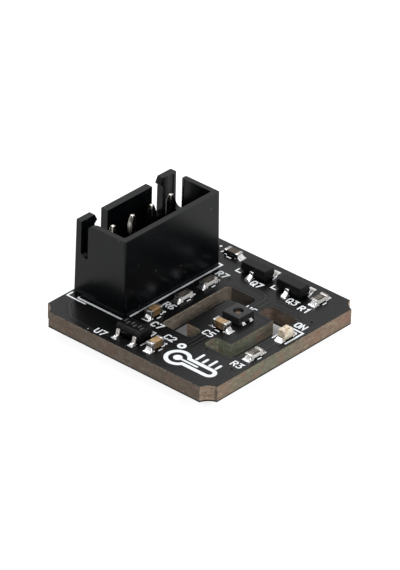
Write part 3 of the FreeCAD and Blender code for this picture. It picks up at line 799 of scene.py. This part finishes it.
def slot_loops():
    """Outline of each milled slot at the top of the board, as a closed path in order."""
    bm = welded("circuit_board")
    rims = [e for e in bm.edges if min(v.co.z for v in e.verts) / MM > BOARD_TOP - 0.01
            and sum(abs(f.normal.z) > 0.5 for f in e.link_faces) == 1
            and all(max(abs(v.co.x), abs(v.co.y)) / MM < HALF - SLOT_RIM_REACH for v in e.verts)
            and min(v.co.x for v in e.verts) / MM > SLOT_START]
    joined = {}
    for edge in rims:
        for vert in edge.verts:
            joined.setdefault(vert, []).append(edge.other_vert(vert))
    loops = []
    while joined:
        start = min(joined, key=lambda v: (v.co.x, v.co.y))
        loop, spot = [start], joined.pop(start)[0]
        while spot in joined:
            loop.append(spot)
            ways = joined.pop(spot)
            spot = next((w for w in ways if w in joined), None)
        loops.append([Vector((v.co.x / MM, v.co.y / MM)) for v in loop])
    bm.free()
    return loops


def widened(loop, margin):
    """A closed path moved outwards by a margin."""
    area = sum(a.x * b.y - b.x * a.y for a, b in zip(loop, loop[1:] + loop[:1]))
    outward = -margin if area > 0 else margin
    ways = directions(loop)
    return [here + mitre(ways[i - 1], ways[i], 0.5) * outward for i, here in enumerate(loop)]


def board_outline(inset, cut):
    """Square with cut corners, this far inside the board's edge."""
    far = HALF - inset
    near = far - cut
    return [(far, -near), (far, near), (near, far), (-near, far),
            (-far, near), (-far, -near), (-near, -far), (near, -far)]


def traces():
    """Copper tracks and rings under the mask, which show as low ridges."""
    bm = bmesh.new()
    for width, path in BRIDGE_TRACES + TRACES:
        ribbon(bm, path, width, COPPER_LEVEL, TRACK_HEIGHT)
    for place in VIAS:
        disc(bm, place, VIA_RADIUS, COPPER_LEVEL, VIA_HEIGHT, VIA_HOLE)
        disc(bm, place, VIA_RADIUS, under_level(VIA_HEIGHT), VIA_HEIGHT, VIA_HOLE)
    for width, path in UNDER_TRACES:
        ribbon(bm, path, width, under_level(TRACK_HEIGHT), TRACK_HEIGHT)
    ribbon(bm, board_outline(0.22, 1.35), 0.1, COPPER_LEVEL, 0.008, True)
    dress(object_from(bm, "copper_tracks"), mask_over_copper)


def gaps():
    """Gaps in the copper, which show as dark lines beside the tracks that cross the near bridge."""
    bm = bmesh.new()
    for width, path in BRIDGE_TRACES:
        ribbon(bm, path, width + 2 * GAP_LINE, COPPER_LEVEL, GAP_HEIGHT)
    for place in VIAS:
        disc(bm, place, HOLE_DOT, COPPER_LEVEL, HOLE_HEIGHT)
        disc(bm, place, HOLE_DOT, under_level(HOLE_HEIGHT), HOLE_HEIGHT)
    dress(object_from(bm, "copper_gaps"), mask_in_gap)


def margins():
    """Fainter lines where the copper ends beside the other tracks and round the slots."""
    bm = bmesh.new()
    for width, path in TRACES:
        ribbon(bm, path, width + 2 * GAP_LINE, COPPER_LEVEL, MARGIN_HEIGHT)
    for loop in slot_loops():
        ribbon(bm, widened(loop, POUR_MARGIN), GAP_LINE, COPPER_LEVEL, POUR_HEIGHT, True)
    dress(object_from(bm, "copper_margins"), mask_at_margin)


traces()
gaps()
margins()


# Header

# Depth behind the housing's outer side at which the inner faces of the latch posts lie
POST_INNER_DEPTH = (0.2, 1.2)


def header_shroud():
    """The housing, whose far latch post is paler on its inner face: a painted sheen."""
    outer_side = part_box("header_housing")[0].x
    least, most = POST_INNER_DEPTH
    piece = refined("header_housing", "header_shroud", 0.06, nylon, 3)
    piece.data.materials.append(post_nylon_painted_sheen)
    for polygon in piece.data.polygons:
        depth = (polygon.center.x - outer_side) / MM
        if polygon.normal.x > 0.3 and least < depth < most:
            polygon.material_index = 1


header_shroud()
for number in range(1, 5):
    refined("header_pin_%d" % number, "pin_%d" % number, 0.06, pin_tin, 3)


LATHE_STEPS = 40
CONE_STEPS = 8
CONE_NECK = 0.47
CONE_HOLLOW = 2.2
PAD_SKIN = 0.04


def lathe(bm, profile, centre):
    """Turned form from a profile of radius and level, round an upright axis."""
    rings = []
    for radius, level in profile:
        circle = arc(centre, radius, 0, 360, LATHE_STEPS)[:-1]
        rings.append([vert_at(bm, x, y, level) for x, y in circle])
    for lower, upper in zip(rings, rings[1:]):
        for i in range(LATHE_STEPS):
            j = (i + 1) % LATHE_STEPS
            bm.faces.new((lower[i], lower[j], upper[j], upper[i]))
    bm.faces.new(rings[0])
    bm.faces.new(rings[-1])


def tail_joints():
    """Hollow cones of solder round the pins' tails, under the board."""
    bm = bmesh.new()
    top = BOARD_BOTTOM - PAD_SKIN
    for points in islands("header_solder_joints"):
        x0, x1 = span(points, 0)
        y0, y1 = span(points, 1)
        tip = span(points, 2)[0]
        pad = (x1 - x0) / 2
        profile = [(pad, BOARD_BOTTOM), (pad, top)]
        for i in range(1, CONE_STEPS + 1):
            share = i / CONE_STEPS
            radius = CONE_NECK + (pad - CONE_NECK) * (1 - share) ** CONE_HOLLOW
            profile.append((radius, top - (top - tip) * share))
        lathe(bm, profile, ((x0 + x1) / 2, (y0 + y1) / 2))
    smooth(bm, math.radians(50))
    dress(object_from(bm, "tail_joints"), solder, ["header_solder_joints"])


tail_joints()


# Solder on the pads

SOLDER_ROWS = 14
SOLDER_COLUMNS = 12
SOLDER_SKIN = 0.065
RIM_SKIN = 0.35 * SOLDER_SKIN
TOE_LEVELS = (0.05, 0.08)
TALL_CLIMB = 0.45
CREST_DEPTH = 0.002
UNDER_WALL = -0.12
PINCH_START = 0.6
LEAST_WALL = 0.05
LEAN = (0.9, 1.1)


def border(grid):
    """Vertices along the four sides of a grid of rows, in order round it."""
    last_row, last_column = len(grid) - 1, len(grid[0]) - 1
    return (grid[0][:last_column] + [row[last_column] for row in grid[:last_row]]
            + grid[last_row][:0:-1] + [row[0] for row in grid[:0:-1]])


def close_grids(bm, top, bottom):
    """Faces of an upper and a lower grid of vertices, and of the wall round them."""
    for i in range(len(top) - 1):
        for j in range(len(top[0]) - 1):
            bm.faces.new((top[i][j], top[i + 1][j], top[i + 1][j + 1], top[i][j + 1]))
            bm.faces.new((bottom[i][j], bottom[i][j + 1], bottom[i + 1][j + 1], bottom[i + 1][j]))
    rim_top, rim_low = border(top), border(bottom)
    for k in range(len(rim_top)):
        n = (k + 1) % len(rim_top)
        bm.faces.new((rim_top[k], rim_top[n], rim_low[n], rim_low[k]))


def meniscus(bm, points, hollow, crown_height, squareness, tilt, corner_pinch):
    """Solder on one pad: it thins to the pad's rounded rim and climbs the wall that stands on it.

    The pad's size, the wall and its height are read from the solid that it stands for. hollow
    is 1 for a straight slope and more for a hollow one; squareness is 2 for a round back and
    more for a flat one; tilt lowers one side of the back; corner_pinch narrows the pad's two
    ends, and so rounds its corners.
    """
    z0, z1 = span(points, 2)
    climb = z1 - z0
    crest = [p for p in points if p.z > z1 - CREST_DEPTH]
    crest_x, crest_y = [high - low for low, high in (span(crest, 0), span(crest, 1))]
    wall_axis, across_axis = (0, 1) if crest_x < crest_y else (1, 0)
    wall_half = max(crest_x, crest_y) / 2
    wall = sum(p[wall_axis] for p in crest) / len(crest)
    toes = [p[wall_axis] for p in points if z0 + TOE_LEVELS[0] < p.z < z0 + TOE_LEVELS[1]]
    outward = 1 if sum(toes) / len(toes) > wall else -1
    low, high = span(points, wall_axis)
    outer, inner = (high, low) if outward > 0 else (low, high)
    reach = abs(outer - wall)
    side_low, side_high = span(points, across_axis)
    middle = (side_low + side_high) / 2
    half_width = (side_high - side_low) / 2
    lean = random.uniform(*LEAN)
    top, bottom = [], []
    for i in range(SOLDER_ROWS + 1):
        along = i / SOLDER_ROWS
        place = inner + (outer - inner) * along
        beyond = (place - wall) * outward / reach
        near_end = max(0.0, (abs(2 * along - 1) - PINCH_START) / (1 - PINCH_START))
        pinch = 1 - corner_pinch * near_end ** 2
        slope = max(0.0, 1 - max(0.0, beyond)) ** hollow if beyond > UNDER_WALL else 0.0
        swell = crown_height * max(0.0, min(1.0, beyond * 3)) * max(0.0, 1 - beyond)
        upper_row, lower_row = [], []
        for j in range(SOLDER_COLUMNS + 1):
            t = -1 + 2 * j / SOLDER_COLUMNS
            side = t * half_width * pinch
            back = max(0.0, 1 - (abs(side) / max(wall_half, LEAST_WALL)) ** squareness)
            rise = slope * (1 - tilt * (1 + t)) * (back if abs(side) < wall_half else 0.0) * lean
            height = min(SOLDER_SKIN + (climb - SOLDER_SKIN) * rise, climb) + swell * (1 - t * t)
            if i in (0, SOLDER_ROWS) or j in (0, SOLDER_COLUMNS):
                height = RIM_SKIN
            spot = [0.0, 0.0, z0 + height]
            spot[wall_axis] = place
            spot[across_axis] = middle + side
            upper_row.append(vert_at(bm, *spot))
            lower_row.append(vert_at(bm, spot[0], spot[1], z0))
        top.append(upper_row)
        bottom.append(lower_row)
    close_grids(bm, top, bottom)


def pad_solder(node, name, finish=solder, hollow=2.1, crown_height=0.09, squareness=6, tilt=0.0,
               tall_hollow=None, corner_pinch=0.16):
    """Solder on each pad of a node; tall_hollow is the form of the joints that climb high."""
    bm = bmesh.new()
    for points in islands(node):
        z0, z1 = span(points, 2)
        tall = tall_hollow and z1 - z0 > TALL_CLIMB
        meniscus(bm, points, tall_hollow if tall else hollow, crown_height, squareness, tilt,
                 corner_pinch)
    smooth(bm, math.radians(75))
    return dress(object_from(bm, name), finish, [node])


def transistor_solder():
    """Bright joints at the transistors' near leads, a lighter solder copy as painted light, and darker
    ones in end tin behind them.
    """
    piece = pad_solder("transistor_solder_joints", "transistor_joints", solder_painted_light,
                       hollow=1.0, crown_height=0.0, squareness=8, tilt=0.16)
    piece.data.materials.append(end_tin)
    low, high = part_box("transistor_1_body")
    for polygon in piece.data.polygons:
        if polygon.center.y > (low.y + high.y) / 2:
            polygon.material_index = 1


pad_solder("chip_solder_joints", "chip_joints", hollow=2.6, crown_height=0.07, tall_hollow=5.0)
transistor_solder()
pad_solder("regulator_solder_joints", "regulator_joints")
pad_solder("sensor_solder_joints", "sensor_joints")
pad_solder("led_solder_joints", "lamp_joints", solder_painted_light, hollow=1.4, crown_height=0.06,
           corner_pinch=0.6)


# How far the far pads reach past their solder, and where they start
PAD_SPARE = 0.27
PAD_LEFT = 0.02
PAD_RIGHT = 0.06
PAD_START = 0.1


def far_pads():
    """Tinned pads of the transistors, which reach past the solder on their far side."""
    bm = bmesh.new()
    bodies = [middle_of("transistor_%d_body" % n) for n in (1, 2)]
    for points in islands("transistor_solder_joints"):
        x0, x1 = span(points, 0)
        y0, y1 = span(points, 1)
        body = min(bodies, key=lambda middle: abs(middle.x - (x0 + x1) / 2))
        if (y0 + y1) / 2 < body.y:
            continue
        left, right = x0 - PAD_LEFT, x1 + PAD_RIGHT
        near, far = y0 + PAD_START, y1 + PAD_SPARE
        corners = [(left, near), (right, near), (right, far), (left, far)]
        pad = bm.faces.new([vert_at(bm, x, y, INK_LEVEL) for x, y in corners])
        raise_faces(bm, [pad], INK_HEIGHT)
    dress(object_from(bm, "transistor_pads"), lead_tin)


far_pads()


# Chips

CODE_HEIGHT = 0.4
CODE_LINE = 0.07
CODE_THICKNESS = 0.006
RESISTOR_CODES = {2: "181", 3: "687", 4: "681", 5: "816"}


def resistor_code(number):
    """Value code on a resistor's film, read from the board's left."""
    node = "resistor_%d_film" % number
    centre = middle_of(node)
    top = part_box(node)[1].z / MM
    text = RESISTOR_CODES[number]
    scale = CODE_HEIGHT / GLYPH_HEIGHT
    width = (GLYPH_STEP * (len(text) - 1) + GLYPH_WIDTH) * scale * GLYPH_NARROWING
    bm = bmesh.new()
    write(bm, text, centre.x + CODE_HEIGHT / 2, centre.y - width / 2, CODE_HEIGHT, CODE_LINE, top,
          CODE_THICKNESS, 90)
    dress(object_from(bm, "chip_%d_code" % number), code_ink)


def resistor(number):
    """Ceramic body with its film and ends; the first one is a black-bodied chip."""
    node, name = "resistor_%d" % number, "chip_%d" % number
    body_finish = black_ceramic if number == 1 else alumina
    refined(node + "_body", name + "_body", 0.025, body_finish)
    refined(node + "_film", name + "_film", 0.02, film)
    refined(node + "_terminals", name + "_ends", 0.03, end_tin)
    if number in RESISTOR_CODES:
        resistor_code(number)


def capacitor(number):
    """Bare ceramic block with two tinned ends."""
    name = "capacitor_%d" % number
    refined(name + "_body", name + "_block", 0.02, tan_ceramic)
    refined(name + "_terminals", name + "_ends", 0.03, end_tin)


for number in range(1, 6):
    resistor(number)
for number in range(1, 4):
    capacitor(number)


# Leaded parts

for name in ("transistor_1", "transistor_2"):
    refined(name + "_body", name + "_case", 0.03, epoxy)
    refined(name + "_leads", name + "_legs", 0.025, lead_tin)
refined("regulator_body", "regulator_case", 0.03, glossy_epoxy)
refined("regulator_leads", "regulator_legs", 0.025, end_tin)


def regulator_marks():
    """Faint laser-marked bars on the regulator's top."""
    bars, bar_length, bar_line, side_margin = 6, 0.42, 0.09, 0.45
    starts = (0.1, 0.32)
    low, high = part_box("regulator_body")
    x0, x1 = low.x / MM + side_margin, high.x / MM - side_margin
    middle = middle_of("regulator_body").y
    bm = bmesh.new()
    for i in range(bars):
        x = x0 + (x1 - x0) * i / (bars - 1)
        start = middle - starts[i % 2]
        ribbon(bm, [(x, start), (x, start + bar_length)], bar_line, high.z / MM - 0.002, 0.006)
    dress(object_from(bm, "regulator_marks"), laser_mark)


regulator_marks()


# Sensor and lamp

refined("sensor_package", "sensor_case", 0.03, sensor_epoxy)
refined("sensor_element", "sensor_film", 0.03, die)
refined("sensor_contacts", "sensor_feet", 0.02, lead_tin)
refined("led_base", "lamp_base_plate", 0.02, lamp_base)
refined("led_lens", "lamp_cover", 0.05, lens, 3)
refined("led_terminals", "lamp_ends", 0.02, end_tin)


# Camera: where the photograph was taken from, in degrees and millimetres

CAMERA_AZIMUTH = 40.95
CAMERA_ELEVATION = 31.2
CAMERA_ROLL = 1.57
CAMERA_DISTANCE = 462.7
CAMERA_TARGET = (-2.35, 2.654, 2.8)
CAMERA_LENS = 329.13
NEAREST_SEEN = 0.01
FARTHEST_SEEN = 20.0


def make_camera():
    a, e = math.radians(CAMERA_AZIMUTH), math.radians(CAMERA_ELEVATION)
    back = Vector((math.sin(a) * math.cos(e), -math.cos(a) * math.cos(e), math.sin(e)))
    camera = bpy.data.objects.new("camera", bpy.data.cameras.new("camera"))
    camera.data.lens = CAMERA_LENS
    camera.data.clip_start = NEAREST_SEEN
    camera.data.clip_end = FARTHEST_SEEN
    camera.location = (Vector(CAMERA_TARGET) + back * CAMERA_DISTANCE) * MM
    roll = Quaternion((0, 0, 1), math.radians(CAMERA_ROLL))
    camera.rotation_mode = "QUATERNION"
    camera.rotation_quaternion = (-back).to_track_quat("-Z", "Y") @ roll
    bpy.context.scene.collection.objects.link(camera)
    bpy.context.scene.camera = camera


make_camera()


# Studio: white floor and surroundings, large soft lamps; its sizes and places are in metres

FLOOR_HALF = 3.0
FLOOR_PAINT = (0.86, 0.86, 0.86, 1.0)
SHADE_PAINT = (0.3, 0.3, 0.3, 1.0)
# Painted shade under the board: between these distances from the middle the shown floor's glow rises
# from the first value to the second.
PAINTED_SHADE_REACH = (4.2 * MM, 8.8 * MM)
PAINTED_SHADE_GLOW = (0.11, 0.91)
WHITE = (1.0, 1.0, 1.0, 1.0)
SOFT_STRENGTH = 0.3

# Name, place, size and power of each lamp
LAMPS = [
    ("key_lamp", (-0.3, 0.15, 0.6), 0.35, 3.35),
    ("fill_lamp", (0.66, -0.2, 0.34), 0.3, 2.4),
]


def shown_rays(tree):
    """1 for what the camera, gloss and glass look at, 0 for what lights the object."""
    path = add_node(tree, "LightPath")
    seen = calculated(tree, "MAXIMUM", path.outputs["Is Camera Ray"], path.outputs["Is Glossy Ray"])
    return calculated(tree, "MAXIMUM", seen, path.outputs["Is Transmission Ray"])


def mix_by_ray(tree, unseen, seen, output_kind):
    """One shader for what lights the object and another for what is looked at."""
    inputs = {0: shown_rays(tree), 1: unseen.outputs[0], 2: seen.outputs[0]}
    mixed = add_node(tree, "MixShader", inputs)
    add_node(tree, output_kind, {0: mixed.outputs[0]})


def make_floor():
    """Pale floor whose shown side is lifted to white, but for a painted shade close under the board,
    where the lift is turned down.
    """
    bm = bmesh.new()
    bmesh.ops.create_grid(bm, x_segments=8, y_segments=8, size=FLOOR_HALF)
    floor = object_from(bm, "floor")
    paint = bpy.data.materials.new("floor_paint")
    paint.use_nodes = True
    tree = paint.node_tree
    tree.nodes.clear()
    diffuse = add_node(tree, "BsdfDiffuse", {"Color": FLOOR_PAINT})
    shadow = add_node(tree, "BsdfDiffuse", {"Color": SHADE_PAINT})
    place = add_node(tree, "TexCoord").outputs["Object"]
    parts = add_node(tree, "SeparateXYZ", {0: place})
    aside = [calculated(tree, "ABSOLUTE", parts.outputs[axis]) for axis in "XY"]
    farther = calculated(tree, "MAXIMUM", *aside)
    shade = remapped(tree, farther, *PAINTED_SHADE_REACH, *PAINTED_SHADE_GLOW)
    glow = add_node(tree, "Emission", {"Strength": shade})
    lifted = add_node(tree, "AddShader", {0: shadow.outputs[0], 1: glow.outputs[0]})
    mix_by_ray(tree, diffuse, lifted, "OutputMaterial")
    floor.data.materials.append(paint)


def make_world():
    world = bpy.data.worlds.new("studio")
    world.use_nodes = True
    bpy.context.scene.world = world
    tree = world.node_tree
    tree.nodes.clear()
    soft = add_node(tree, "Background", {"Color": WHITE, "Strength": SOFT_STRENGTH})
    white = add_node(tree, "Background", {"Color": WHITE, "Strength": 1.0})
    mix_by_ray(tree, soft, white, "OutputWorld")


def soft_lamp(name, place, size, power):
    """Square area lamp that faces the board."""
    lamp = bpy.data.objects.new(name, bpy.data.lights.new(name, "AREA"))
    lamp.data.shape = "SQUARE"
    lamp.data.size = size
    lamp.data.energy = power
    lamp.location = place
    lamp.rotation_mode = "QUATERNION"
    lamp.rotation_quaternion = (-Vector(place)).to_track_quat("-Z", "Y")
    bpy.context.scene.collection.objects.link(lamp)


make_floor()
make_world()
for lamp_values in LAMPS:
    soft_lamp(*lamp_values)

bpy.context.scene.view_settings.view_transform = "Standard"
